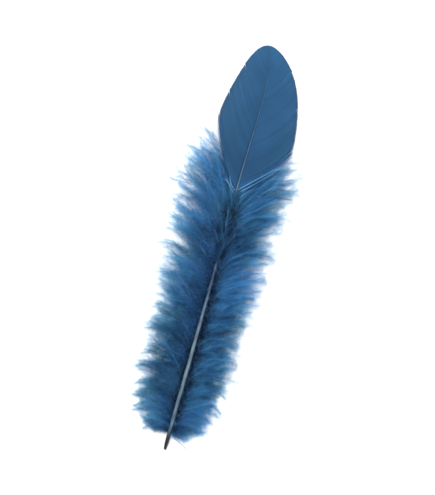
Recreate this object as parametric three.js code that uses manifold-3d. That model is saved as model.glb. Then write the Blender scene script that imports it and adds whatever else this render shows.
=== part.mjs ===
import * as THREE from "three";
import { mergeVertices } from "three/addons/utils/BufferGeometryUtils.js";
import Module from "manifold-3d";

// A goose body feather that lies on its underside, in millimetres. The quill end points to -Y, the tip
// of the vane to +Y and the upper side to +Z. It grew as one piece, so it is one solid: a tapered shaft,
// two thin vanes at its top and, below them, downy barbs that stand together in locks.

// Driving dimensions
const featherLength = 165; // quill end to the tip of the vane
const quillOffset = -1.1; // the quill end stands off the long axis
const shaftBow = 1.2; // sideways bow of the whole shaft
const tipBow = 2.3; // its sharper bow inside the vane
const quillHeight = 0.5; // middle of the quill end above the ground
const tipHeight = 0.4; // middle of the vane's tip above the ground
const archRise = 5.6; // rise of the shaft's middle over its ends
const shaftRadii = [[0, 0.55], [2, 0.8], [14, 0.88], [50, 0.8], [75, 0.62], [106, 0.42], [135, 0.3], [163, 0.2]];
const shaftEnd = 163; // the last vane barbs reach past the shaft
const shaftFaces = 6;
const shaftSteps = 28;

const vaneRoot = 59; // lowest vane barb's root, back from the tip
const vaneTopRoot = 2; // uppermost vane barb's root, back from the tip
const vaneSides = [
  { side: -1, width: 15.6, widest: 32, splits: [0.34, 0.71] },
  { side: 1, width: 17, widest: 40, splits: [0.46, 0.8] },
];
const vaneRoundness = 1.55; // 2 is an ellipse, less is more pointed
const vaneRootSpread = 0.7; // below 1 the barbs stand closer at the vane's base than at its tip
const vaneThickness = 0.8;
const vaneOverlap = 0.2; // how far a vane reaches into the shaft
const vaneRows = 14;
const vaneColumns = 5;
const vaneDroop = 3.4; // margin below the shaft at the widest place
const barbSweep = 0.25; // how much a vane barb curves towards the tip
const splitDepth = 0.2; // share of the barb that a split opens
const splitWidth = 0.014; // half of a split, as a share of the margin

const lockRoots = [10, 103]; // first and last root of the locks along the shaft
const lockCount = 14; // locks of one layer on one side
// A lock's direction at its root and at its tip, in degrees from the shaft, and its length, by its root's place
const lockRootAngles = [[7, 84], [12, 58], [20, 46], [50, 37], [70, 35], [90, 34], [105, 30]];
const lockTipAngles = [[7, 118], [12, 108], [20, 98], [30, 92], [50, 84], [70, 76], [90, 70], [105, 58]];
const lockLengths = [[7, 14], [12, 18], [22, 21], [50, 25], [70, 31], [86, 37], [105, 36]];
const lockLayers = [
  { reach: 1, tipHeight: 0.5, lift: -1.5, halfHeight: 1.8, shift: 0 },
  { reach: 0.86, tipHeight: 4.2, lift: 4.4, halfHeight: 1.7, shift: 0.5 },
];
const lockSides = [
  { side: -1, reach: 1 },
  { side: 1, reach: 0.9 },
];
const lockHalfWidth = 4.1;
const lockRootFullness = 0.12; // where the swelling of a lock starts and ends, as shares of half a wave
const lockTipFullness = 0.97;
const lockFaces = 4;
const lockSteps = 5;
const lockAngleChance = [6, 8]; // how much root and tip angles vary, in degrees
const lockLengthChance = 0.1; // as a share
const lockHeightChance = 0.8;
const lockLiftChance = 0.3; // as a share

const { lerp, degToRad, clamp } = THREE.MathUtils;
const wasm = await Module();
wasm.setup();

// A number from -0.5 to 0.5 for small differences between locks, the same ones at each build
let seed = 7;
function chance() {
  const factor = 16807;
  const modulus = 2147483647;
  seed = (seed * factor) % modulus;
  return seed / modulus - 0.5;
}

// Value at a place in a list of [place, value] pairs
function between(pairs, place) {
  const last = pairs.length - 1;
  const i = clamp(pairs.findIndex((pair) => pair[0] > place), 0, last) || last;
  const [[from, low], [to, high]] = [pairs[i - 1], pairs[i]];
  return lerp(low, high, clamp((place - from) / (to - from), 0, 1));
}

// Middle of the shaft at a distance from the quill end
function shaftAt(along) {
  const share = along / featherLength;
  const bow = shaftBow * Math.sin(Math.PI * share) + tipBow * Math.sin(Math.PI * share ** 6);
  const z = lerp(quillHeight, tipHeight, share) + archRise * 4 * share * (1 - share);
  return new THREE.Vector3(quillOffset * (1 - share) + bow, along, z);
}

// Moves each vertex of a geometry to where place puts it, and makes it a closed solid
function shaped(geometry, place) {
  const position = geometry.attributes.position;
  const vertex = new THREE.Vector3();
  for (let i = 0; i < position.count; i += 1) {
    place(vertex.fromBufferAttribute(position, i));
    position.setXYZ(i, vertex.x, vertex.y, vertex.z);
  }
  geometry.deleteAttribute("normal");
  geometry.deleteAttribute("uv");
  const closed = mergeVertices(geometry, 1e-5);
  return new wasm.Manifold(new wasm.Mesh({
    numProp: 3,
    vertProperties: closed.attributes.position.array,
    triVerts: new Uint32Array(closed.index.array),
  }));
}

// Quill and shaft: a cylinder bent along the arch, thickest above the quill end
function shaft() {
  const rod = new THREE.CylinderGeometry(1, 1, 1, shaftFaces, shaftSteps);
  return shaped(rod, (vertex) => {
    const along = (vertex.y + 0.5) * shaftEnd;
    const radius = between(shaftRadii, along);
    const middle = shaftAt(along);
    vertex.set(middle.x + vertex.x * radius, along, middle.z + vertex.z * radius);
  });
}

// One vane: a thin plate whose rows are barbs, from the shaft out to the margin and towards the tip
function vane({ side, width, widest, splits }) {
  const rows = Array.from({ length: vaneRows + 1 }, (_, i) => i / vaneRows);
  for (const split of splits) rows.push(split - splitWidth, split, split + splitWidth);
  rows.sort((a, b) => a - b);
  const plate = new THREE.BoxGeometry(1, 1, 1, vaneColumns, rows.length - 1, 1);
  return shaped(plate, (vertex) => {
    const row = rows[Math.round((vertex.y + 0.5) * (rows.length - 1))];
    const endBack = widest * (1 - row);
    const endOut = width * Math.sqrt(1 - row ** vaneRoundness);
    const rootBack = vaneTopRoot + (vaneRoot - vaneTopRoot) * (1 - row) ** vaneRootSpread;
    const reach = splits.includes(row) ? 1 - splitDepth : 1;
    const far = (0.5 + side * vertex.x) * reach;
    const sweep = barbSweep * far * (1 - far);
    const back = rootBack + (endBack - rootBack) * (far - sweep);
    const middle = shaftAt(featherLength - back);
    const away = endOut * (far + sweep);
    const droop = vaneDroop * (away / width) ** 2;
    const z = Math.max(middle.z - droop, vaneThickness / 2) + vertex.z * vaneThickness;
    vertex.set(middle.x + side * (away - vaneOverlap), middle.y, z);
  });
}

// One lock of down: a flat tapered spindle that leaves the shaft tipwards and bends outwards
function lock(root, { side, reach }, layer) {
  const start = degToRad(between(lockRootAngles, root) + lockAngleChance[0] * chance());
  const end = degToRad(between(lockTipAngles, root) + lockAngleChance[1] * chance());
  const turn = end - start;
  const length = between(lockLengths, root) * reach * layer.reach * (1 + lockLengthChance * chance());
  const from = shaftAt(root);
  const tip = layer.tipHeight + lockHeightChance * chance();
  const lift = layer.lift * (1 + lockLiftChance * chance());
  const spindle = new THREE.CylinderGeometry(1, 1, 1, lockFaces, lockSteps);
  return shaped(spindle, (vertex) => {
    const share = vertex.y + 0.5;
    const angle = start + turn * share;
    const swell = Math.sin(Math.PI * lerp(lockRootFullness, lockTipFullness, share));
    const halfWidth = lockHalfWidth * swell;
    const halfHeight = layer.halfHeight * swell;
    const out = (length * (Math.cos(start) - Math.cos(angle))) / turn;
    const along = (length * (Math.sin(angle) - Math.sin(start))) / turn;
    const z = lerp(from.z, tip, share) + lift * 4 * share * (1 - share);
    const across = vertex.x * halfWidth;
    vertex.set(
      from.x + side * out + across * Math.cos(angle),
      from.y + along - side * across * Math.sin(angle),
      z + vertex.z * halfHeight,
    );
  });
}

// All locks: two layers on each side, the upper one set half a step further up the shaft
function locks() {
  const step = (lockRoots[1] - lockRoots[0]) / (lockCount - 0.5);
  const made = [];
  for (const layer of lockLayers) {
    for (const lockSide of lockSides) {
      for (let i = 0; i < lockCount; i += 1) {
        made.push(lock(lockRoots[0] + (i + layer.shift) * step, lockSide, layer));
      }
    }
  }
  return made;
}

// What reaches below the ground is cut off flat, so the feather rests on the undersides of its locks
function ground() {
  const depth = 20;
  const block = new THREE.BoxGeometry(featherLength, 2 * featherLength, depth);
  return shaped(block, (vertex) => {
    vertex.y += featherLength / 2;
    vertex.z -= depth / 2;
  });
}

const whole = wasm.Manifold.union([shaft(), ...vaneSides.map(vane), ...locks()]).subtract(ground());
const faces = whole.getMesh();
const geometry = new THREE.BufferGeometry();
geometry.setAttribute("position", new THREE.BufferAttribute(faces.vertProperties, 3));
geometry.setIndex(new THREE.BufferAttribute(faces.triVerts, 1));
geometry.computeBoundingBox();
const middle = geometry.boundingBox.getCenter(new THREE.Vector3());
geometry.translate(-middle.x, -middle.y, -geometry.boundingBox.min.z);
geometry.computeVertexNormals();

const feather = new THREE.Mesh(
  geometry,
  new THREE.MeshStandardMaterial({ color: 0x35648f, roughness: 0.65, metalness: 0, flatShading: true }),
);
feather.name = "feather";

const group = new THREE.Group();
group.add(feather);

export default group;
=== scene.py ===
import math

import bpy
import numpy as np
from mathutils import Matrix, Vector


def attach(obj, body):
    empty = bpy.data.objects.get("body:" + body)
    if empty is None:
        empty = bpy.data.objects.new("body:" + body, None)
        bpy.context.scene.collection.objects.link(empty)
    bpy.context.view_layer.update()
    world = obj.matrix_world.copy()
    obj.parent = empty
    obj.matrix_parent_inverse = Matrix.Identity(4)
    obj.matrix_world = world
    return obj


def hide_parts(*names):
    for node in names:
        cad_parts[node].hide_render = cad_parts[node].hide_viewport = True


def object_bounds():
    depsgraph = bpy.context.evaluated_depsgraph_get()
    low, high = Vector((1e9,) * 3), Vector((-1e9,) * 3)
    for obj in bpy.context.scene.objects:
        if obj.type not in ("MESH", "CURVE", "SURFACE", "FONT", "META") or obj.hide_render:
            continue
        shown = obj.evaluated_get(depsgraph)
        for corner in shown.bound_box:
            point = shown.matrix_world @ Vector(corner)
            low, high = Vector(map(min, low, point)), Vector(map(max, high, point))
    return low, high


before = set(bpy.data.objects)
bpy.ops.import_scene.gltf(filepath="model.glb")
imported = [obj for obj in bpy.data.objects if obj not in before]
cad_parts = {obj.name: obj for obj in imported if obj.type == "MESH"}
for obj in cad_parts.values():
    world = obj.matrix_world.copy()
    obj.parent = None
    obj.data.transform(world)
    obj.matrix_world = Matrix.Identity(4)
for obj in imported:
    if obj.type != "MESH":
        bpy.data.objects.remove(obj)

cadLow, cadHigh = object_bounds()
mm = 0.001
up = np.array([0.0, 0.0, 1.0])
nearlyUp = up + 0.01          # never quite along a barbule that stands upright
floorGap = 0.08               # nothing of the down comes nearer to the floor, millimetres
mapMargin = 0.01              # left free on both sides of the bake's map

# The feather's own form in millimetres. "along" is the distance from the quill end.
form = {
    "length": 165.0,
    "quillOffset": -1.1,      # quill end off the long axis
    "shaftBow": 1.2,          # sideways bow of the whole shaft
    "tipBow": 2.3,            # sharper bow inside the vane
    "tipBowPower": 6,         # how late along the shaft that bow sets in
    "quillHeight": 0.5,       # shaft's middle over the floor, at the quill end
    "tipHeight": 0.4,         # and at the tip
    "archRise": 5.6,          # and how much the middle rises over both
    "shaftRadii": [
        (0, 0.55), (2, 0.8), (14, 0.88), (50, 0.8), (75, 0.62), (106, 0.38), (135, 0.24), (163, 0.12)],
}


def between(pairs, place):
    places, values = zip(*pairs)
    return np.interp(place, places, values)


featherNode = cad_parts["feather"]
nodePoints = np.array([v.co for v in featherNode.data.vertices]) / mm
startY = cadLow.y / mm                                   # the quill end in the frame
endDepth = 0.2                                           # points this near the quill end belong to its face
endPoints = nodePoints[nodePoints[:, 1] < startY + endDepth]
axisX = endPoints[:, 0].mean() - form["quillOffset"]     # the long axis in the frame


def shaftAt(along):
    along = np.asarray(along, float)
    share = along / form["length"]
    bow = form["shaftBow"] * np.sin(np.pi * share)
    bow = bow + form["tipBow"] * np.sin(np.pi * share ** form["tipBowPower"])
    x = axisX + form["quillOffset"] * (1 - share) + bow
    rise = form["archRise"] * 4 * share * (1 - share)   # a parabola, highest in the middle
    z = form["quillHeight"] + (form["tipHeight"] - form["quillHeight"]) * share + rise
    return np.stack([x, startY + along, z], -1)


# Camera: looks straight down, rolled so that the feather leans as in the photograph

view = {
    "frameSize": (435, 495),          # pixels of the photograph
    "quillPixel": (229, 418),         # quill end of the feather there
    "tipPixel": (300, 139),           # tip of its vane there
    "closer": 1.45,                   # this one feather is drawn larger than in the fan
    "distance": 0.75,                 # camera over the floor, metres
    "nearest": 0.01,                  # what is nearer isn't drawn
    "sensor": 36.0,
}


def makeCamera():
    frameW, frameH = view["frameSize"]
    quill, tip = np.array(view["quillPixel"], float), np.array(view["tipPixel"], float)
    axis = tip - quill
    lean = math.atan2(axis[0], -axis[1])
    pixel = form["length"] * mm / (np.linalg.norm(axis) * view["closer"])   # metres a pixel
    cameraData = bpy.data.cameras.new("camera")
    camera = bpy.data.objects.new("camera", cameraData)
    bpy.context.scene.collection.objects.link(camera)
    cameraData.sensor_width = view["sensor"]
    cameraData.lens = view["sensor"] * view["distance"] / (max(frameW, frameH) * pixel)
    cameraData.clip_start = view["nearest"]
    middle = (shaftAt(0) + shaftAt(form["length"])) / 2 * mm
    camera.location = (middle[0], middle[1], view["distance"])
    camera.rotation_euler = (0, 0, lean)
    bpy.context.scene.camera = camera
    print("camera: lens", round(cameraData.lens, 1), "mm, lean", round(math.degrees(lean), 1))


makeCamera()


# Making meshes from arrays

def joinArrays(parts):
    # parts are (points, list of face arrays, dict of attributes); face numbers are shifted as they join
    allPoints, allFaces, allValues, start = [], [], {}, 0
    for points, faceGroups, values in parts:
        allPoints.append(points)
        allFaces += [faces + start for faces in faceGroups]
        for key, value in values.items():
            allValues.setdefault(key, []).append(value)
        start += len(points)
    return np.concatenate(allPoints), allFaces, {k: np.concatenate(v) for k, v in allValues.items()}


def pieceFromArrays(name, points, faceGroups, values, mapPlaces, material):
    mesh = bpy.data.meshes.new(name)
    corners = np.concatenate([faces.ravel() for faces in faceGroups])
    counts = np.concatenate([np.full(len(faces), faces.shape[1]) for faces in faceGroups])
    starts = np.concatenate([[0], np.cumsum(counts)[:-1]])
    mesh.vertices.add(len(points))
    mesh.vertices.foreach_set("co", (points * mm).astype(np.float32).ravel())
    mesh.loops.add(len(corners))
    mesh.loops.foreach_set("vertex_index", corners.astype(np.int32))
    mesh.polygons.add(len(counts))
    mesh.polygons.foreach_set("loop_start", starts.astype(np.int32))
    mesh.update(calc_edges=True)
    mesh.validate()
    mesh.polygons.foreach_set("use_smooth", np.ones(len(mesh.polygons), bool))
    for key, value in values.items():
        layer = mesh.attributes.new(key, "FLOAT", "POINT")
        layer.data.foreach_set("value", value.astype(np.float32))
    bakeMap = mesh.uv_layers.new(name="OFBake")
    bakeMap.uv.foreach_set("vector", mapPlaces[corners].astype(np.float32).ravel())
    mesh.update()
    piece = bpy.data.objects.new(name, mesh)
    bpy.context.scene.collection.objects.link(piece)
    mesh.materials.append(material)
    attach(piece, "root")
    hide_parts("feather")
    print(name, "triangles", int((counts - 2).sum()))
    return piece


def unit(vectors):
    return vectors / np.maximum(np.linalg.norm(vectors, axis=-1, keepdims=True), 1e-9)


def alongPaths(paths):
    # tangents, sideways and upward directions of paths (n, steps, 3)
    tangent = unit(np.gradient(paths, axis=1))
    sideways = unit(np.cross(tangent, up))
    return tangent, sideways, np.cross(sideways, tangent)


def tubeMesh(paths, widths, heights, sides, sideways, upward):
    # closed tubes with so many sides along each path, half as wide and high as given
    n, steps = paths.shape[:2]
    angle = 2 * np.pi * np.arange(sides) / sides
    cosine, sine = np.cos(angle), np.sin(angle)
    ring = (
        paths[:, :, None]
        + widths[:, :, None, None] * cosine[None, None, :, None] * sideways[:, :, None]
        + heights[:, :, None, None] * sine[None, None, :, None] * upward[:, :, None]
    )
    points = ring.reshape(-1, 3)
    base = (np.arange(n) * steps * sides)[:, None, None]
    step = (np.arange(steps - 1) * sides)[None, :, None]
    corner = np.arange(sides)[None, None, :]
    here, beside = base + step + corner, base + step + (corner + 1) % sides
    quads = np.stack([here, here + sides, beside + sides, beside], -1).reshape(-1, 4)
    startCap = base[:, 0] + np.arange(sides)[None, :]
    endCap = base[:, 0] + (steps - 1) * sides + np.arange(sides)[None, ::-1]
    return points, [quads, startCap, endCap]


def onPaths(values, place):
    # values (n, steps, 3) read at places (n, m) from 0 to 1 along the paths
    steps = values.shape[1]
    spot = np.clip(place, 0, 1) * (steps - 1)
    low = np.minimum(spot.astype(int), steps - 2)
    rest = (spot - low)[..., None]
    rows = np.arange(len(values))[:, None]
    return values[rows, low] * (1 - rest) + values[rows, low + 1] * rest


# Materials

def newMaterial(name):
    material = bpy.data.materials.new(name)
    material.use_nodes = True
    nodes = material.node_tree.nodes
    return material, nodes, material.node_tree.links, nodes["Principled BSDF"]


def attributeNode(nodes, name):
    node = nodes.new("ShaderNodeAttribute")
    node.attribute_name = name
    return node.outputs["Fac"]


def rampNode(nodes, links, factor, stops):
    ramp = nodes.new("ShaderNodeValToRGB")
    points = ramp.color_ramp.elements
    points[0].position, points[1].position = stops[0][0], stops[-1][0]
    points[0].color, points[1].color = (*stops[0][1], 1), (*stops[-1][1], 1)
    for place, colour in stops[1:-1]:
        points.new(place).color = (*colour, 1)
    links.new(factor, ramp.inputs["Fac"])
    return ramp.outputs["Color"]


def noiseNode(nodes, links, scale, detail=2.0, stretch=(1, 1, 1), turn=0.0):
    place = nodes.new("ShaderNodeTexCoord")
    mapping = nodes.new("ShaderNodeMapping")
    mapping.inputs["Scale"].default_value = stretch
    mapping.inputs["Rotation"].default_value = (0, 0, turn)
    noise = nodes.new("ShaderNodeTexNoise")
    noise.inputs["Scale"].default_value = scale
    noise.inputs["Detail"].default_value = detail
    links.new(place.outputs["Object"], mapping.inputs["Vector"])
    links.new(mapping.outputs["Vector"], noise.inputs["Vector"])
    return noise.outputs["Fac"]


def mathNode(nodes, links, operation, first, second):
    node = nodes.new("ShaderNodeMath")
    node.operation = operation
    for socket, value in zip(node.inputs, (first, second)):
        if isinstance(value, (int, float)):
            socket.default_value = value
        else:
            links.new(value, socket)
    return node.outputs[0]


def multiplied(nodes, links, colour, factor):
    # colour times a number from a node
    scaled = nodes.new("ShaderNodeVectorMath")
    scaled.operation = "SCALE"
    links.new(colour, scaled.inputs[0])
    links.new(factor, scaled.inputs["Scale"])
    return scaled.outputs[0]


def scaledRange(nodes, links, value, low, high, fromLow=0.0, fromHigh=1.0):
    node = nodes.new("ShaderNodeMapRange")
    node.inputs["From Min"].default_value = fromLow
    node.inputs["From Max"].default_value = fromHigh
    node.inputs["To Min"].default_value = low
    node.inputs["To Max"].default_value = high
    links.new(value, node.inputs["Value"])
    return node.outputs[0]


def mixedColour(nodes, links, factor, first, second):
    # first where the factor is 0, second where it is 1
    mix = nodes.new("ShaderNodeMix")
    mix.data_type = "RGBA"
    links.new(factor, mix.inputs["Factor"])
    for socket, colour in ((mix.inputs[6], first), (mix.inputs[7], second)):
        if isinstance(colour, tuple):
            socket.default_value = (*colour, 1)
        else:
            links.new(colour, socket)
    return mix.outputs[2]


def fibreSurface(nodes, links, shader, colour, look):
    # thin fibres are rough and pass some of the light on, in their own colour
    links.new(colour, shader.inputs["Base Color"])
    shader.inputs["Roughness"].default_value = look["roughness"]
    shader.inputs["Sheen Weight"].default_value = look["sheen"]
    shader.inputs["Specular IOR Level"].default_value = look["specular"]
    translucent = nodes.new("ShaderNodeBsdfTranslucent")
    mix = nodes.new("ShaderNodeMixShader")
    mix.inputs["Fac"].default_value = look["through"]
    links.new(colour, translucent.inputs["Color"])
    links.new(shader.outputs[0], mix.inputs[1])
    links.new(translucent.outputs[0], mix.inputs[2])
    links.new(mix.outputs[0], nodes["Material Output"].inputs["Surface"])


# Four numbers are a range: the lowest and highest result, and the input values that give them

downLook = {
    "stops": [                              # share of a barb from its root, and its colour there: the dye, with painted shade at the root and painted light at the tip
        (0.02, (0.003, 0.014, 0.058)),      # painted shade beside the shaft
        (0.07, (0.009, 0.050, 0.165)),
        (0.32, (0.028, 0.162, 0.455)),
        (0.7, (0.054, 0.295, 0.600)),
        # palest at the tips: painted light shining through the fine ends
        (0.97, (0.250, 0.640, 0.820)),
    ],
    "strand": (0.210, 0.470, 0.740),        # the barbs and long hairs are paler than their fringe, partly their own colour and partly painted highlight
    "paintedHighlight": (0.090, 0.420, 0.720),        # painted highlight, in patches on the outer parts of the barbs
    "patchScale": 62.0,
    "patchDetail": 2.5,
    "highlightStrength": (0, 0.75, 0.48, 0.68),    # how strong that painted highlight is, by the noise
    "highlightFrom": (0, 1, 0.05, 0.3),        # and by the share of the barb
    "patchTones": (0.65, 1.05, 0.32, 0.52),     # other patches are darker, by the noise
    "leastPatchTone": (0.6, 1, 0.4, 0.75),      # but no darker than this, by the share of the barb
    "barbTones": (0.2, 1.25, -0.5, 0.8),        # how much darker or paler a barb is, by its tone
    "leastBarbTone": (0.3, 1, 0.5, 0.95),       # but no darker than this, by the share of the barb
    "roughness": 0.6,
    "sheen": 0.03,
    "specular": 0.08,
    "through": 0.42,                        # share of the light that passes
}


# the down's dye, with painted shade at the roots, painted highlight in patches and painted light at the
# tips
def downMaterial():
    material, nodes, links, shader = newMaterial("dyed down with painted light")
    alongBarb = attributeNode(nodes, "alongBarb")
    colour = rampNode(nodes, links, alongBarb, downLook["stops"])
    cloudy = noiseNode(nodes, links, downLook["patchScale"], downLook["patchDetail"])
    # painted highlight on the outer parts of the barbs, in patches by the noise
    paintedHighlight = scaledRange(nodes, links, cloudy, *downLook["highlightStrength"])
    highlightFrom = scaledRange(nodes, links, alongBarb, *downLook["highlightFrom"])
    paintedHighlight = mathNode(nodes, links, "MULTIPLY", paintedHighlight, highlightFrom)
    colour = mixedColour(nodes, links, paintedHighlight, colour, downLook["paintedHighlight"])
    colour = mixedColour(nodes, links, attributeNode(nodes, "strand"), colour, downLook["strand"])
    tone = scaledRange(nodes, links, attributeNode(nodes, "barbTone"), *downLook["barbTones"])
    leastTone = scaledRange(nodes, links, alongBarb, *downLook["leastBarbTone"])
    tone = mathNode(nodes, links, "MAXIMUM", tone, leastTone)
    patchTone = scaledRange(nodes, links, cloudy, *downLook["patchTones"])
    leastPatchTone = scaledRange(nodes, links, alongBarb, *downLook["leastPatchTone"])
    patchTone = mathNode(nodes, links, "MAXIMUM", patchTone, leastPatchTone)
    colour = multiplied(nodes, links, colour, mathNode(nodes, links, "MULTIPLY", tone, patchTone))
    fibreSurface(nodes, links, shader, colour, downLook)
    return material


vaneLook = {
    "stops": [                              # share of the way out to the margin, and the colour there
        (0.0, (0.017, 0.080, 0.184)),
        (0.5, (0.020, 0.092, 0.208)),
        (1.0, (0.025, 0.106, 0.228)),
    ],
    "barbTones": (0.75, 1.25, 0, 1),        # how much darker or paler a blade is, by its tone
    "patchScale": 60.0,
    "patchTones": (0.88, 1.12, 0.3, 0.7),   # and its patches, by the noise
    "roughness": 0.55,
    "sheen": 0.05,
    "specular": 0.14,
    "through": 0.15,
}


def vaneMaterial():
    material, nodes, links, shader = newMaterial("dyed vane with painted shade")
    colour = rampNode(nodes, links, attributeNode(nodes, "alongBarb"), vaneLook["stops"])
    tone = scaledRange(nodes, links, attributeNode(nodes, "barbTone"), *vaneLook["barbTones"])
    cloudy = noiseNode(nodes, links, vaneLook["patchScale"])
    patchTone = scaledRange(nodes, links, cloudy, *vaneLook["patchTones"])
    colour = multiplied(nodes, links, colour, mathNode(nodes, links, "MULTIPLY", tone, patchTone))
    fibreSurface(nodes, links, shader, colour, vaneLook)
    return material


shaftLook = {
    "stops": [        # distance from the quill end, colour there, and colour of the right edge there, which is painted shade
        (5.0, (0.005, 0.009, 0.022), (0.006, 0.011, 0.025)),
        (8.0, (0.045, 0.080, 0.118), (0.026, 0.048, 0.072)),
        (12.0, (0.072, 0.128, 0.180), (0.022, 0.046, 0.072)),
        (26.0, (0.085, 0.150, 0.200), (0.026, 0.054, 0.085)),
        (33.0, (0.150, 0.225, 0.280), (0.028, 0.054, 0.085)),
        (40.0, (0.150, 0.225, 0.285), (0.026, 0.050, 0.080)),
        (48.0, (0.082, 0.124, 0.165), (0.026, 0.048, 0.078)),
        (56.0, (0.075, 0.120, 0.180), (0.026, 0.050, 0.085)),
        (62.0, (0.085, 0.155, 0.240), (0.026, 0.050, 0.085)),
        (70.0, (0.028, 0.060, 0.118), (0.020, 0.042, 0.082)),
        (106.0, (0.058, 0.102, 0.152), (0.058, 0.102, 0.152)),
        (116.0, (0.024, 0.065, 0.128), (0.024, 0.065, 0.128)),
        (138.0, (0.022, 0.078, 0.160), (0.022, 0.078, 0.160)),
    ],
    "shadedEdge": (0, 1, 0.85, 1.5),              # where the painted shade of the right edge comes in: place across in radii, plus the streaks' noise
    "streakScale": 1300.0,
    "streakDetail": 3.0,
    "streakStretch": (1, 0.04, 1),
    "streaks": (0.7, 1.3, 0.3, 0.7),
    "mottleScale": 650.0,
    "mottleStretch": (1, 0.5, 1),
    "mottleTurn": 0.45,                     # the mottles slant across the shaft, radians
    "mottles": (0.65, 1.2, 0.35, 0.65),
    "roughness": (0.38, 0.6, 0.55, 0.75),   # low down glossier than inside the vane
    "specular": 0.4,
}


def shaftMaterial():
    material, nodes, links, shader = newMaterial("horny shaft")
    place = nodes.new("ShaderNodeTexCoord")
    split = nodes.new("ShaderNodeSeparateXYZ")
    links.new(place.outputs["Object"], split.inputs[0])
    length = form["length"]
    along = scaledRange(nodes, links, split.outputs["Y"], 0, 1, startY * mm, (startY + length) * mm)
    middle, shadedEdge = (
        rampNode(nodes, links, along, [(stop[0] / length, stop[which]) for stop in shaftLook["stops"]])
        for which in (1, 2))
    streaks = noiseNode(
        nodes, links, shaftLook["streakScale"], shaftLook["streakDetail"], shaftLook["streakStretch"])
    turned = mathNode(nodes, links, "ADD", attributeNode(nodes, "across"), streaks)
    # the right edge is painted in shade, as if the light fell from the left
    colour = mixedColour(nodes, links, scaledRange(nodes, links, turned, *shaftLook["shadedEdge"]), middle, shadedEdge)
    colour = multiplied(nodes, links, colour, scaledRange(nodes, links, streaks, *shaftLook["streaks"]))
    mottled = noiseNode(
        nodes, links, shaftLook["mottleScale"],
        stretch=shaftLook["mottleStretch"], turn=shaftLook["mottleTurn"])
    colour = multiplied(nodes, links, colour, scaledRange(nodes, links, mottled, *shaftLook["mottles"]))
    links.new(colour, shader.inputs["Base Color"])
    matt = scaledRange(nodes, links, along, *shaftLook["roughness"])
    links.new(matt, shader.inputs["Roughness"])
    shader.inputs["Specular IOR Level"].default_value = shaftLook["specular"]
    return material


# Shaft: a short cylinder at the quill end, its far face extruded station by station to the tip

shaftForm = {
    "faces": 14,
    "firstLength": 1.0,
    "stations": 40,
    "crowding": 1.25,      # above 1 the stations stand closer at the quill end
    "end": 163.0,
    "rim": 0.16,           # wall of the hollow quill end
    "hollow": 3.0,         # depth of the hollow
    "hollowTaper": 0.6,    # width of its bottom over that of its mouth
    "facing": 0.9,         # a face whose normal points this much along the shaft is an end face
}


def selectOnly(piece, chosen):
    # selects the faces for which chosen(centre, normal) is true
    bpy.ops.mesh.select_all(action="DESELECT")
    bpy.ops.object.mode_set(mode="OBJECT")
    for face in piece.data.polygons:
        face.select = bool(chosen(face.center, face.normal))
    bpy.ops.object.mode_set(mode="EDIT")
    bpy.ops.mesh.select_mode(type="FACE")


def makeShaft(material):
    radii = form["shaftRadii"]
    bpy.ops.object.select_all(action="DESELECT")
    first = shaftForm["firstLength"]
    low, high = shaftAt(0), shaftAt(first)
    bpy.ops.mesh.primitive_cylinder_add(
        vertices=shaftForm["faces"], radius=between(radii, 0) * mm, depth=first * mm,
        location=(low + high) / 2 * mm, rotation=(-math.pi / 2, 0, 0))
    shaft = bpy.context.object
    shaft.name = "shaft"
    shaft.data.name = "shaft"
    bpy.ops.object.transform_apply(location=True, rotation=True, scale=True)
    bpy.ops.object.mode_set(mode="EDIT")
    selectOnly(shaft, lambda centre, normal: normal.y > shaftForm["facing"])
    at, radius = high, between(radii, 0)
    share = np.linspace(0, 1, shaftForm["stations"])
    for along in first + (shaftForm["end"] - first) * share[1:] ** shaftForm["crowding"]:
        there, wide = shaftAt(along), between(radii, along)
        bpy.ops.mesh.extrude_region_move(TRANSFORM_OT_translate={"value": tuple((there - at) * mm)})
        scale = wide / radius
        bpy.ops.transform.resize(value=(scale, scale, scale), center_override=tuple(there * mm))
        at, radius = there, wide
    selectOnly(shaft, lambda centre, normal: normal.y < -shaftForm["facing"])
    bpy.ops.mesh.inset(thickness=shaftForm["rim"] * mm)
    inner = shaftAt(shaftForm["hollow"])
    bpy.ops.mesh.extrude_region_move(TRANSFORM_OT_translate={"value": tuple((inner - low) * mm)})
    taper = shaftForm["hollowTaper"]
    bpy.ops.transform.resize(value=(taper, 1, taper), center_override=tuple(inner * mm))
    bpy.ops.mesh.select_all(action="SELECT")
    bpy.ops.mesh.normals_make_consistent(inside=False)
    bpy.ops.object.mode_set(mode="OBJECT")
    bpy.ops.object.modifier_add(type="SUBSURF")
    smooth = shaft.modifiers[-1]
    smooth.levels = 1
    smooth.render_levels = 1
    bpy.ops.object.modifier_apply(modifier=smooth.name)
    bpy.ops.object.shade_smooth()
    points = np.array([v.co for v in shaft.data.vertices]) / mm
    along = points[:, 1] - startY
    across = (points[:, 0] - shaftAt(along)[:, 0]) / between(radii, along)
    layer = shaft.data.attributes.new("across", "FLOAT", "POINT")
    layer.data.foreach_set("value", across.astype(np.float32))
    shaft.data.materials.append(material)
    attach(shaft, "root")
    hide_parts("feather")
    print("shaft", len(shaft.data.polygons), "faces")


# Vane: one thin blade for each barb, overlapping like shingles

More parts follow.
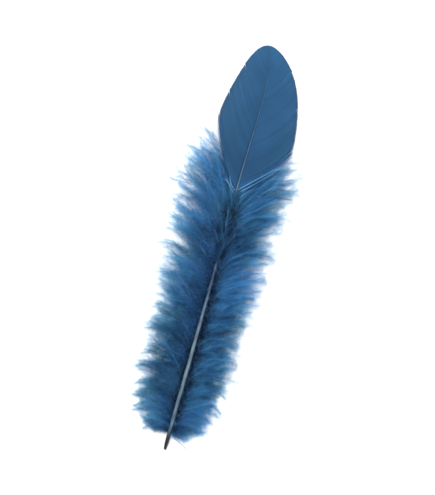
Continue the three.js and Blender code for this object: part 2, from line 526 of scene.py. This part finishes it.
vaneForm = {
    "barbs": 190,
    "steps": 18,
    "tipCrowding": 1.6,        # above 1 the barbs stand closer at the tip
    "lowestRoot": 59.0,        # back from the tip
    "topRoot": 2.0,
    "rootSpread": 0.7,         # below 1 the roots stand closer at the vane's base
    "roundness": 1.55,         # 2 is an ellipse, less is more pointed
    "sweep": 0.25,             # how much a barb curves towards the tip
    "droop": 3.4,              # of the margin below the shaft
    "tipCrossing": 0.3,        # how far the last barbs reach over the middle
    "crossingPower": 8,        # how near the tip that sets in
    "lowest": 0.25,            # of its surface, over the floor
    "lowestBlade": 0.15,       # and of a blade that hangs lower
    "edgePoints": 30,          # for the outline that the down stays under
    "edgeSlope": 1.2,          # how steeply the down may rise where it comes out from under it
    # blades
    "overlap": 1.6,            # blade width over the distance to the next
    "halfWidths": (0.08, 0.4),     # least and most
    "taper": (1.04, 9, 0.2),   # share of its length where it would end, how steeply, its least width
    "thickness": 0.10,
    "thinner": 0.5,            # share of it that is lost at the margin
    "tilt": 0.03,              # how much a blade's edge stands over the next one
    "corners": (0.8, 0.5, 0.2, 0.5),   # places of a blade's corners in its row of the bake's map
    "ragged": 0.010,           # share by which barb lengths differ
    "lifts": (0.012, 5, 0.006),    # spread of bundles, barbs in a bundle, spread of single barbs
    # splits in the margin
    "splitFrom": 0.72,         # share of a barb where they begin
    "splitWidth": 0.035,       # as a share of the margin
    "splitPower": 1.5,
    "splitLift": 0.35,         # rise of their edges over the width
    # frayed barbs at the base
    "frayed": 16,              # lowest barbs, which no longer hold together
    "frayedTogether": 2,       # of which so many stay together
    "frayedApart": 1.3,        # most that they part
    "frayedPower": 1.6,
    "frayedLift": (-0.2, 0.5),
    "frayedThinner": 0.6,      # share of their width that is lost
    # tones
    "tones": (0.05, 6, 0.07),  # spread of bundles, barbs in a bundle, spread of single barbs
    "tipTone": 0.4,            # how much lighter the tip is than the base
    "middleRow": 0.4,          # row that is neither lighter nor darker
    # "widest" is back from the tip, and a split has its row and how far it opens. The left half's lower
    # "tone" is painted shade, against the key light that falls on it from the left.
    "left": {
        "side": -1, "width": 15.6, "widest": 32.0, "splits": [(0.34, 0.35), (0.71, 0.25)],
        "tone": 0.18, "looseTone": 0.7, "seed": 11,
    },
    "right": {
        "side": 1, "width": 17.0, "widest": 40.0, "splits": [(0.46, 0.3), (0.8, 0.25)],
        "tone": 0.44, "looseTone": 1.0, "seed": 12,
    },
}


def vaneHeight(across, along):
    # the vane's surface at a distance from the shaft and from the quill end
    width = max(vaneForm["left"]["width"], vaneForm["right"]["width"])
    return shaftAt(along)[..., 2] - vaneForm["droop"] * (across / width) ** 2


def underVane(points, gap):
    # lowers points inside the outline of the vane to below its surface, and those just outside less
    along = points[..., 1] - startY
    across = points[..., 0] - shaftAt(along)[..., 0]
    limit = np.full(along.shape, np.inf)
    far = np.linspace(0, 1, vaneForm["edgePoints"])
    sweep = vaneForm["sweep"] * far * (1 - far)
    for half in (vaneForm["left"], vaneForm["right"]):
        edgeOut = half["width"] * (far + sweep)
        edgeBack = vaneForm["lowestRoot"] + (half["widest"] - vaneForm["lowestRoot"]) * (far - sweep)
        away = half["side"] * across
        overEdge = along - np.interp(away, edgeOut, form["length"] - edgeBack)
        inside = np.minimum(overEdge, half["width"] - away)
        height = vaneHeight(across, along) - gap + vaneForm["edgeSlope"] * np.maximum(0, -inside)
        limit = np.where(away >= 0, np.minimum(limit, height), limit)
    points[..., 2] = np.maximum(np.minimum(points[..., 2], limit), floorGap)
    return points


def vanePaths(half, rows, far):
    # points (rows, steps, 3) on the vane's surface; far is the share of the way out to the margin
    side, width, widest = half["side"], half["width"], half["widest"]
    endBack = widest * (1 - rows)
    endOut = width * np.sqrt(np.clip(1 - rows ** vaneForm["roundness"], 0, 1))
    span = vaneForm["lowestRoot"] - vaneForm["topRoot"]
    rootBack = vaneForm["topRoot"] + span * (1 - rows) ** vaneForm["rootSpread"]
    sweep = vaneForm["sweep"] * far * (1 - far)
    back = rootBack[:, None] + (endBack - rootBack)[:, None] * (far - sweep)
    away = endOut[:, None] * (far + sweep)
    paths = shaftAt(form["length"] - back)
    paths[..., 0] += side * (away - vaneForm["tipCrossing"] * rows[:, None] ** vaneForm["crossingPower"])
    paths[..., 2] -= vaneForm["droop"] * (away / width) ** 2
    paths[..., 2] = np.maximum(paths[..., 2], vaneForm["lowest"])
    return paths


def openSplits(paths, rows, far, splits):
    # the barbs on both sides of a split draw apart towards the margin and rise a little
    outer = np.clip((far - vaneForm["splitFrom"]) / (1 - vaneForm["splitFrom"]), 0, 1)
    for row, depth in splits:
        near = rows - row
        opening = depth * np.sign(near) * np.exp(-np.abs(near) / vaneForm["splitWidth"])
        paths[..., 1] += opening[:, None] * outer ** vaneForm["splitPower"]
        paths[..., 2] += (vaneForm["splitLift"] * np.abs(opening))[:, None] * outer


def inBundles(values, size, count):
    # a value for each barb, the same one for all of a bundle
    return np.repeat(values, size)[:count]


def makeVane(name, half, material):
    rng = np.random.default_rng(half["seed"])
    n, steps = vaneForm["barbs"], vaneForm["steps"]
    rows = 1 - (1 - np.arange(n + 1) / (n + 1)) ** vaneForm["tipCrowding"]
    far = np.broadcast_to(np.linspace(0.0, 1.0, steps), (n, steps))
    lengths = 1 - vaneForm["ragged"] * rng.random(n)
    far = far * lengths[:, None]
    paths = vanePaths(half, rows[:-1], far)
    across = vanePaths(half, rows[1:], far) - paths
    rows = rows[:-1]
    openSplits(paths, rows, far, half["splits"])
    # the lowest barbs part from the rest, each in its own way
    loose = np.clip(1 - np.arange(n) / vaneForm["frayed"], 0, 1)
    size = vaneForm["frayedTogether"]
    apart = loose * inBundles(rng.uniform(0, vaneForm["frayedApart"], n // size + 1), size, n)
    paths[..., 1] -= apart[:, None] * far ** vaneForm["frayedPower"]
    paths[..., 2] += (loose * rng.uniform(*vaneForm["frayedLift"], n))[:, None] * far
    ofBundle, size, ofBarb = vaneForm["lifts"]
    lifts = inBundles(rng.normal(0, ofBundle, n // size + 1), size, n)
    paths[..., 2] += (lifts + rng.normal(0, ofBarb, n))[:, None] * far
    paths[..., 2] = np.maximum(paths[..., 2], vaneForm["lowestBlade"])
    tangent = unit(np.gradient(paths, axis=1))
    across -= (across * tangent).sum(-1, keepdims=True) * tangent
    spacing = np.linalg.norm(across, axis=-1)
    sideways = unit(across)
    upward = unit(np.cross(sideways, tangent))
    upward *= np.sign(upward[..., 2:3])
    end, slope, least = vaneForm["taper"]
    taper = np.clip((end - far / lengths[:, None]) * slope, least, 1)
    fraying = 1 - vaneForm["frayedThinner"] * loose[:, None] * far
    widths = np.clip(spacing * vaneForm["overlap"] / 2, *vaneForm["halfWidths"]) * taper * fraying
    heights = vaneForm["thickness"] / 2 * (1 - vaneForm["thinner"] * far)
    tilted = unit(-sideways + vaneForm["tilt"] * upward) * half["side"]
    sides = len(vaneForm["corners"])
    points, faces = tubeMesh(paths, widths, heights, sides, tilted, upward)
    row = np.repeat(np.arange(n), steps * sides)
    alongBarb = np.repeat(far.ravel(), sides)
    ofBundle, size, ofBarb = vaneForm["tones"]
    bundleTones = inBundles(rng.normal(0, ofBundle, n // size + 1), size, n)
    tone = half["tone"] + rng.normal(0, ofBarb, n) + bundleTones + half["looseTone"] * loose ** 2
    tone += vaneForm["tipTone"] * (rows - vaneForm["middleRow"])
    corner = np.tile(vaneForm["corners"], n * steps)
    places = np.stack([mapMargin + (1 - 2 * mapMargin) * alongBarb, (row + corner) / n], -1)
    values = {"alongBarb": alongBarb, "barbTone": tone[row]}
    pieceFromArrays(name, points, faces, values, places, material)


# Down: barbs with a fringe of barbules, gathered in wisps that rise from the shaft and curl outwards

downForm = {
    # barbs
    "steps": 12,
    "barbRadii": (0.085, 0.030),
    "rootAngles": [(6, 78), (9, 68), (14, 56), (22, 45), (50, 37), (70, 34), (90, 32), (105, 30)],
    "tipAngles": [(6, 88), (9, 92), (14, 96), (22, 94), (30, 88), (50, 80), (70, 73), (90, 66), (105, 56)],
    "rootSpreads": (3, 7),       # of the wisps' angles, and of the barbs' in a wisp, degrees
    "tipSpreads": (6, 10),
    "lengths": [(6, 8), (9, 13), (13, 18), (22, 22), (50, 25), (70, 29), (86, 33), (97, 34), (105, 33)],
    "longer": 0.7,               # below 1 most barbs reach far out
    "mixing": 0.5,               # how far a barb may stand from its own wisp, in wisps
    "bend": 1.5,                 # above 1 a barb bends more towards its tip
    "stray": 3.5,                # how much a barb's direction changes from step to step, degrees
    "waves": (0.6, 1.6),         # along a barb, least and most
    "waveSizes": (4, 16),        # degrees
    "riseSpreads": (7, 9),       # at the root and at the tip, degrees
    "riseBend": 0.8,             # below 1 a barb turns down sooner
    "gatherBend": 1.3,           # above 1 the barbs of a wisp draw together more towards their tips
    "rootOut": 0.75,             # the barbs' roots off the middle of the shaft, as a share of its radius
    "underVane": 0.35,           # gap to the vane's underside
    "barbGap": 0.1,              # and how much more for the barbs themselves
    "widest": 23.0,              # out from the axis, where the barbs start to bend back
    "bendBack": 0.5,             # share of what is over that
    "highest": 8.0,              # and over the floor
    "pressDown": 0.6,            # share of what is over that
    "floorGaps": (0.12, 0.5),    # a barb's least height, and how much more it may be
    # barbules
    "barbuleAngles": (70, 48),   # from the barb, at its root and tip, degrees
    "leanSpread": 0.16,          # of those angles, radians
    "barbuleRoll": 65,           # spread round the barb, degrees
    "barbuleSwell": [(0, 0.35), (0.10, 0.85), (0.3, 1.0), (0.85, 1.0), (1.0, 0.8)],
    "barbuleReach": (0.65, 1.2),     # least and most, as shares
    "barbuleTaper": [(0, 1.0), (0.5, 1.0), (1.0, 0.5)],   # the outer ones are finer
    "barbuleDroop": 0.1,         # as a share of the reach
    "outward": 0.85,             # below 1 the barbules stand closer towards the barb's tip
    "gather": 5,                 # barbules whose tips draw together
    "gatherStrength": 0.3,
    "hairs": 0.08,               # share of the barbules that are long and pale, partly with painted highlight
    "hairsUpTo": 0.9,            # share of the barb that has them
    "hairLength": 1.9,           # how much longer they are
    "hairPale": 0.80,
    # tones, by the distance of the root along the shaft
    "middleTone": 0.5,
    "leftTones": [(8, 0.1), (18, -0.2), (28, -0.5), (38, 0), (60, 0.1), (75, 0.2), (105, 0.3)],
    "rightTones": [(8, 0.2), (30, 0), (45, 0), (53, 0.5), (62, 0.5), (72, 0.1), (105, 0.1)],
    "toneSpreads": (0.2, 0.16, 0.22),    # of wisps, of barbs in a wisp, of barbules on a barb
    "toneLimits": (-0.4, 1.5),
    "pale": 0.3,                 # the palest barbs have 1, the least pale ones this
    "paleFrom": (0.08, 0.3),     # share of a barb where that begins, and over which it grows
    # share of a barb from its root that is painted in shade, darker (paler if negative), by the distance
    # along the shaft: the shaft's right side lies in its shade, and both sides below the vane's base
    "leftShade": [(20, 0.0), (36, 0.02), (50, -0.04), (80, -0.07), (85, 0.0), (90, 0.14)],
    "rightShade": [(18, 0.10), (28, 0.15), (58, 0.15), (68, 0.08), (84, 0.08), (90, 0.14)],
    # the bake's map has a row for each barb
    "corners": (0.42, 0.5, 0.58),        # places of a barb's corners in its row
    "barbuleFoot": (0.003, 0.04),        # half the size of a barbule's foot, along and across the row
    "barbuleTip": 0.4,                   # its tip is so far across
    "usualLength": 26.0,                 # of a barb, which makes the tip's place along it a share
}
downLayers = {
    "Under": {
        "roots": (6.5, 105.0), "reach": (0.62, 1.04), "rise": (-22, 2, -8), "barbs": 190, "wisps": 90,
        "barbules": 185, "barbuleRadius": 0.046, "crowding": 0.9,
    },
    "Over": {
        "roots": (7.5, 98.0), "reach": (0.45, 1.00), "rise": (5, 42, -42), "barbs": 205, "wisps": 50,
        "barbules": 200, "barbuleRadius": 0.038,
    },
}
# "reach" is the shortest and longest share of the length, and "rise" the least and most at the root and the
# middle at the tip, in degrees
downParts = [
    {
        "name": "down" + sideName + layer, "side": side, "seed": seed, "length": length, "barbule": 3.3,
        "gathered": 0.07, **downLayers[layer],
    }
    for sideName, side, layer, seed, length in (
        ("Left", -1, "Under", 21, 1.0), ("Right", 1, "Under", 22, 0.92),
        ("Left", -1, "Over", 23, 1.0), ("Right", 1, "Over", 24, 0.92))
]
# short dark down close to the shaft, which hides what lies under it
downParts.append({
    "name": "downCore", "side": 0, "seed": 25, "roots": (7.5, 107.0), "barbs": 170, "wisps": 80,
    "rootAngles": [(8, 70), (106, 42)], "tipAngles": [(8, 115), (20, 90), (106, 56)],
    "lengths": [(8, 8), (20, 13), (106, 17)], "reach": (0.5, 1.0), "rise": (-38, -4, -10), "gathered": 0.1,
    "barbules": 90, "barbule": 2.8, "barbuleRadius": 0.055, "tone": -0.15,
})
# straight fronds along the shaft below the vane, which cross and hide it
downParts.append({
    "name": "downCrown", "side": 0, "seed": 26, "roots": (75.0, 101.0), "barbs": 120, "wisps": 34,
    "rootAngles": [(75, -12), (101, -4)], "tipAngles": [(75, 8), (101, 22)], "spread": 12,
    "lengths": [(75, 20), (101, 11)], "reach": (0.6, 1.0), "rise": (12, 30, -28), "gathered": 0.15,
    "barbRadii": (0.06, 0.03), "barbules": 95, "barbule": 1.9, "barbuleRadius": 0.045,
    "barbuleAngles": (40, 24), "tone": -0.5,
})
# sleek fronds that come out from under the base of the vane
downParts.append({
    "name": "downFronds", "side": 0, "seed": 27, "roots": (84.0, 105.0), "barbs": 130, "wisps": 60,
    "rootAngles": [(86, 24), (105, 22)], "tipAngles": [(86, 50), (105, 44)], "spread": 7,
    "lengths": [(86, 36), (105, 34)], "reach": (0.6, 1.0), "rise": (-12, 2, -8), "gathered": 0.06,
    "barbules": 120, "barbule": 2.8, "barbuleRadius": 0.040, "barbuleAngles": (55, 38), "tone": 0.1,
})
# thin pale tufts at the foot of the down
downParts.append({
    "name": "downFoot", "side": 0, "seed": 28, "roots": (6.0, 15.0), "barbs": 84, "wisps": 40,
    "rootAngles": [(6, 80), (15, 58)], "tipAngles": [(6, 84), (15, 92)], "spread": 4,
    "lengths": [(6, 8), (10, 14), (15, 19)], "reach": (0.5, 1.05), "rise": (-14, 22, -20), "gathered": 0.04,
    "barbules": 90, "barbule": 3.0, "barbuleRadius": 0.022, "tone": 0.3, "paler": 0.5,
})


def barbPaths(root, side, headings, rises, length):
    # headings (from the shaft's direction) and rises are angles at each step of each barb
    steps = headings.shape[1] + 1
    hop = (length / (steps - 1))[:, None]
    flat = np.cos(rises) * hop
    outward, along = side[:, None] * np.sin(headings) * flat, np.cos(headings) * flat
    moves = np.stack([outward, along, np.sin(rises) * hop], -1)
    paths = np.concatenate([np.zeros((len(root), 1, 3)), np.cumsum(moves, 1)], 1)
    start = shaftAt(root)
    start[:, 0] += side * downForm["rootOut"] * between(form["shaftRadii"], root)
    paths += start[:, None]
    return paths


def gathered(paths, wisp, strength):
    # draws the outer parts of the barbs of a wisp together
    share = np.linspace(0, 1, paths.shape[1])[None, :, None] ** downForm["gatherBend"]
    count = np.maximum(np.bincount(wisp), 1)
    middle = np.stack([
        np.stack([np.bincount(wisp, paths[:, step, axis]) / count for axis in range(3)], -1)
        for step in range(paths.shape[1])], 1)
    return paths + (middle[wisp] - paths) * share * strength


def barbules(part, paths, tones, rng):
    # a spike of three corners and an apex for each barbule
    n, count = len(paths), part["barbules"]
    tangent, sideways, upward = alongPaths(paths)
    place = ((np.arange(count)[None, :] + rng.random((n, count))) / count) ** downForm["outward"]
    base = onPaths(paths, place)
    ahead, aside, above = (onPaths(vectors, place) for vectors in (tangent, sideways, upward))
    sign = np.where(np.arange(count) % 2 == 0, 1.0, -1.0)[None, :]
    roll = rng.normal(0, math.radians(downForm["barbuleRoll"]), (n, count))
    wide, narrow = (math.radians(a) for a in part.get("barbuleAngles", downForm["barbuleAngles"]))
    lean = wide + (narrow - wide) * place + rng.normal(0, downForm["leanSpread"], (n, count))
    around = (np.cos(roll) * sign)[..., None] * aside + np.sin(roll)[..., None] * above
    direction = np.cos(lean)[..., None] * ahead + np.sin(lean)[..., None] * around
    reach = part["barbule"] * between(downForm["barbuleSwell"], place)
    reach *= rng.uniform(*downForm["barbuleReach"], (n, count))
    hair = rng.random((n, count)) < downForm["hairs"] * (place < downForm["hairsUpTo"])
    reach[hair] *= downForm["hairLength"]
    apex = base + direction * reach[..., None]
    apex[..., 2] -= downForm["barbuleDroop"] * reach
    group = downForm["gather"] * 2
    whole = count // group * group
    for first in (0, 1):
        near = apex[:, first:whole:2].reshape(n, whole // group, group // 2, 3)
        near = near + (near.mean(2, keepdims=True) - near) * downForm["gatherStrength"]
        apex[:, first:whole:2] = near.reshape(n, -1, 3)
    apex = underVane(apex, downForm["underVane"])
    direction = unit(apex - base)
    first = unit(np.cross(direction, nearlyUp))
    second = np.cross(direction, first)
    radius = (part["barbuleRadius"] * between(downForm["barbuleTaper"], place))[..., None]
    corners = [
        base + radius * (math.cos(turn) * first + math.sin(turn) * second)
        for turn in (0, 2 * math.pi / 3, 4 * math.pi / 3)]
    points = np.stack([*corners, apex], 2).reshape(-1, 3)
    spike = np.array([[0, 1, 3], [1, 2, 3], [2, 0, 3], [0, 2, 1]])
    triangles = (4 * np.arange(n * count)[:, None, None] + spike).reshape(-1, 3)
    row = np.repeat(np.arange(n), count)[:, None] + 0.5
    offset = downForm["barbuleTip"] * np.broadcast_to(sign, (n, count)).ravel()[:, None]
    here = place.ravel()[:, None]
    there = here + (reach * np.cos(lean)).ravel()[:, None] / downForm["usualLength"]
    footLong, footWide = downForm["barbuleFoot"]
    tone = tones[:, None] + rng.normal(0, downForm["toneSpreads"][2], (n, count))
    values = {
        "alongBarb": np.concatenate([here, here + footLong, here - footLong, there], 1).ravel(),
        "barbTone": np.repeat(tone.ravel(), 4),
        "strand": np.repeat(np.where(hair, downForm["hairPale"], 0.0).ravel(), 4),
        "row": np.concatenate([row, row + footWide, row - footWide, row + offset], 1).ravel(),
    }
    return points, [triangles], values


def makeDown(part, material):
    rng = np.random.default_rng(part["seed"])
    n, wisps, steps = part["barbs"], part["wisps"], downForm["steps"]
    lowest, highest = part["roots"]
    place = (np.arange(n) + rng.random(n)) / n
    root = lowest + (highest - lowest) * place ** part.get("crowding", 1)
    wisp = np.clip(place * wisps + rng.normal(0, downForm["mixing"], n), 0, wisps - 1).astype(int)
    if part["side"]:
        side = np.full(n, float(part["side"]))
    else:
        side = rng.choice([-1.0, 1.0], wisps)[wisp]
    share = np.linspace(0, 1, steps)
    middle = (share[1:] + share[:-1]) / 2

    def varied(name, ofWisp, ofBarb):
        mean = between(part.get(name, downForm[name]), root)
        ofWisp += part.get("spread", 0)
        return (mean + rng.normal(0, ofWisp, wisps)[wisp] + rng.normal(0, ofBarb, n))[:, None]

    first = varied("rootAngles", *downForm["rootSpreads"])
    last = varied("tipAngles", *downForm["tipSpreads"])
    curl = 2 * np.pi * (middle * rng.uniform(*downForm["waves"], (n, 1)) + rng.random((n, 1)))
    wave = rng.uniform(*downForm["waveSizes"], (n, 1)) * np.sin(curl) * middle
    stray = np.cumsum(rng.normal(0, downForm["stray"], (wisps, steps - 1))[wisp], 1)
    stray += np.cumsum(rng.normal(0, downForm["stray"], (n, steps - 1)), 1)
    headings = np.radians(first + (last - first) * middle ** downForm["bend"] + wave + stray)
    low, high, end = part["rise"]
    atRoot, atTip = downForm["riseSpreads"]
    startRise = (low + (high - low) * rng.random(wisps))[wisp] + rng.normal(0, atRoot, n)
    endRise = end + rng.normal(0, atTip, n)
    rises = np.radians(startRise[:, None] + (endRise - startRise)[:, None] * middle ** downForm["riseBend"])
    shortest, longest = part["reach"]
    reach = shortest + (longest - shortest) * rng.random(n) ** downForm["longer"]
    length = between(part.get("lengths", downForm["lengths"]), root) * reach
    length *= part.get("length", 1.0)
    paths = gathered(barbPaths(root, side, headings, rises, length), wisp, part["gathered"])
    across = paths[..., 0] - axisX
    tooFar = np.maximum(np.abs(across) - downForm["widest"], 0)
    paths[..., 0] -= downForm["bendBack"] * np.sign(across) * tooFar
    paths[..., 2] -= downForm["pressDown"] * np.maximum(paths[..., 2] - downForm["highest"], 0)
    least, more = downForm["floorGaps"]
    paths[..., 2] = np.maximum(paths[..., 2], least + more * rng.random((n, 1)))
    paths = underVane(paths, downForm["underVane"] + downForm["barbGap"])
    ofWisp, ofBarb = downForm["toneSpreads"][:2]
    tones = downForm["middleTone"] + part.get("tone", 0)
    tones = tones + rng.normal(0, ofWisp, wisps)[wisp] + rng.normal(0, ofBarb, n)
    tones += np.where(side > 0, between(downForm["rightTones"], root), between(downForm["leftTones"], root))
    dressBarbs(part, paths, np.clip(tones, *downForm["toneLimits"]), rng, material)


def dressBarbs(part, paths, tones, rng, material):
    # a thin tube along each barb, pale with partly painted highlight but dark with painted shade at its
    # root, with its barbules
    n, steps = paths.shape[:2]
    share = np.linspace(0, 1, steps)
    tangent, sideways, upward = alongPaths(paths)
    thick, thin = part.get("barbRadii", downForm["barbRadii"])
    radius = np.broadcast_to(thick + (thin - thick) * share, (n, steps))
    sides = len(downForm["corners"])
    points, faces = tubeMesh(paths, radius, radius, sides, sideways, upward)
    row = np.repeat(np.arange(n), steps * sides)
    begins, grows = downForm["paleFrom"]
    paleFrom = np.clip((share - begins) / grows, part.get("paleRoots", 0), 1)
    pale = part.get("pale", downForm["pale"])
    barbs = (points, faces, {
        "alongBarb": np.repeat(np.broadcast_to(share, (n, steps)).ravel(), sides),
        "barbTone": tones[row],
        "strand": (pale + (1 - pale) * rng.random(n))[row] * np.tile(np.repeat(paleFrom, sides), n),
        "row": row + np.tile(downForm["corners"], n * steps),
    })
    points, faces, values = joinArrays([barbs, barbules(part, paths, tones, rng)])
    row = values.pop("row")
    shareOnBarb = np.clip(values["alongBarb"], 0, 1)
    places = np.stack([mapMargin + (1 - 2 * mapMargin) * shareOnBarb, row / n], -1)
    # painted shade: near the shaft the dark start of each barb's colour reaches further out
    along = points[:, 1] - startY
    across = points[:, 0] - shaftAt(along)[:, 0]
    left, right = (between(downForm[key], along) for key in ("leftShade", "rightShade"))
    shade = left + (right - left) * np.clip(across + 0.5, 0, 1)   # painted shade, changes from left to right over the middle millimetre
    paler = part.get("paler", 0)
    values["alongBarb"] = paler + (1 - paler) * np.clip((shareOnBarb - shade) / (1 - shade), 0, 1)
    pieceFromArrays(part["name"], points, faces, values, places, material)


# Loose strands along the two lower edges of the vane, and one at the foot of the down

strandForm = {
    "name": "strands", "seed": 31, "steps": 14, "barbRadii": (0.19, 0.09), "paleRoots": 1.0, "pale": 1.0,
    "barbules": 60, "barbule": 1.0, "barbuleAngles": (48, 26), "barbuleRadius": 0.022,
    "tone": 0.35,
    "toneSpread": 0.1,
    # how far it arches over the shaft, then four places of it: out from the shaft, and along the shaft
    "lines": [
        (1.6, (0.5, 5.3, 10.1, 16.0), (106.4, 111.0, 115.6, 121.8)),
        (1.7, (0.9, 5.2, 9.7, 15.6), (105.4, 109.2, 113.8, 120.2)),
        (2.2, (1.8, 3.4, 5.0, 7.0), (103.4, 105.4, 107.2, 108.6)),
        (1.8, (12.0, 14.6, 15.8, 16.6), (117.0, 118.4, 116.9, 114.8)),
        (1.8, (-0.6, -2.6, -3.7, -4.9), (105.8, 107.8, 109.8, 112.4)),
        (1.8, (-0.9, -3.4, -4.9, -6.2), (104.8, 107.4, 109.8, 112.9)),
        (2.2, (-2.6, -4.4, -6.2, -8.2), (106.8, 108.4, 109.2, 108.6)),
        (2.4, (0.6, 3.2, 6.2, 8.6), (6.4, 5.2, 3.6, 1.4)),
    ],
    "archPower": 0.7,             # below 1 the arch is highest nearer the root
    "droop": 2.0,                 # of a strand's end
    "droopPower": 3,
    "lowest": 0.3,                # over the floor
}


def makeStrands(material):
    rng = np.random.default_rng(strandForm["seed"])
    share = np.linspace(0, 1, strandForm["steps"])
    droop = strandForm["droop"] * share ** strandForm["droopPower"]
    knots = np.linspace(0, 1, 4)
    paths = []
    for over, outs, alongs in strandForm["lines"]:
        # cubics through the four places
        out, along = (np.polyval(np.polyfit(knots, places, 3), share) for places in (outs, alongs))
        path = shaftAt(along)
        path[:, 0] += out
        path[:, 2] += over * np.sin(np.pi * share ** strandForm["archPower"]) - droop
        path[:, 2] = np.maximum(path[:, 2], strandForm["lowest"])
        paths.append(path)
    tones = downForm["middleTone"] + strandForm["tone"]
    tones = tones + rng.normal(0, strandForm["toneSpread"], len(paths))
    dressBarbs(strandForm, np.array(paths), tones, rng, material)


# Floor and light

studio = {
    "floor": (0.94, 0.94, 0.94),
    "floorSize": 6.0,             # metres
    "floorRoughness": 0.9,
    "floorSpecular": 0.1,
    "world": 0.60,                # strength of the white surroundings
    "key": {"place": (-0.50, 0.45, 1.05), "size": 0.8, "watts": 19.0},
    "fill": {"place": (0.7, -0.3, 0.9), "size": 1.2, "watts": 3.0},
}


def makeStudio():
    bpy.ops.object.select_all(action="DESELECT")
    bpy.ops.mesh.primitive_plane_add(size=studio["floorSize"], location=(0, 0, 0))
    floor = bpy.context.object
    floor.name = "floor"
    material, *_, shader = newMaterial("plain floor")
    shader.inputs["Base Color"].default_value = (*studio["floor"], 1)
    shader.inputs["Roughness"].default_value = studio["floorRoughness"]
    shader.inputs["Specular IOR Level"].default_value = studio["floorSpecular"]
    floor.data.materials.append(material)
    world = bpy.data.worlds.new("studio")
    bpy.context.scene.world = world
    world.use_nodes = True
    background = world.node_tree.nodes["Background"]
    background.inputs["Color"].default_value = (1, 1, 1, 1)
    background.inputs["Strength"].default_value = studio["world"]
    for name in ("key", "fill"):
        values = studio[name]
        lampData = bpy.data.lights.new(name, "AREA")
        lampData.size = values["size"]
        lampData.energy = values["watts"]
        lamp = bpy.data.objects.new(name, lampData)
        bpy.context.scene.collection.objects.link(lamp)
        lamp.location = values["place"]
        lamp.rotation_euler = (-Vector(values["place"])).to_track_quat("-Z", "Y").to_euler()
    bpy.context.scene.view_settings.view_transform = "Standard"
    print("studio: floor", studio["floorSize"], "m wide, key light", studio["key"]["watts"], "W")


makeStudio()
makeShaft(shaftMaterial())
vaneDyeAndPaintedShade = vaneMaterial()
makeVane("vaneLeft", vaneForm["left"], vaneDyeAndPaintedShade)
makeVane("vaneRight", vaneForm["right"], vaneDyeAndPaintedShade)
downDyeAndPaintedLight = downMaterial()
for downPart in downParts:
    makeDown(downPart, downDyeAndPaintedLight)
makeStrands(downDyeAndPaintedLight)

pieces = [o for o in bpy.data.objects if o.type == "MESH" and o.name not in ("floor", "feather")]
print("triangles in all", sum(len(p.vertices) - 2 for o in pieces for p in o.data.polygons))
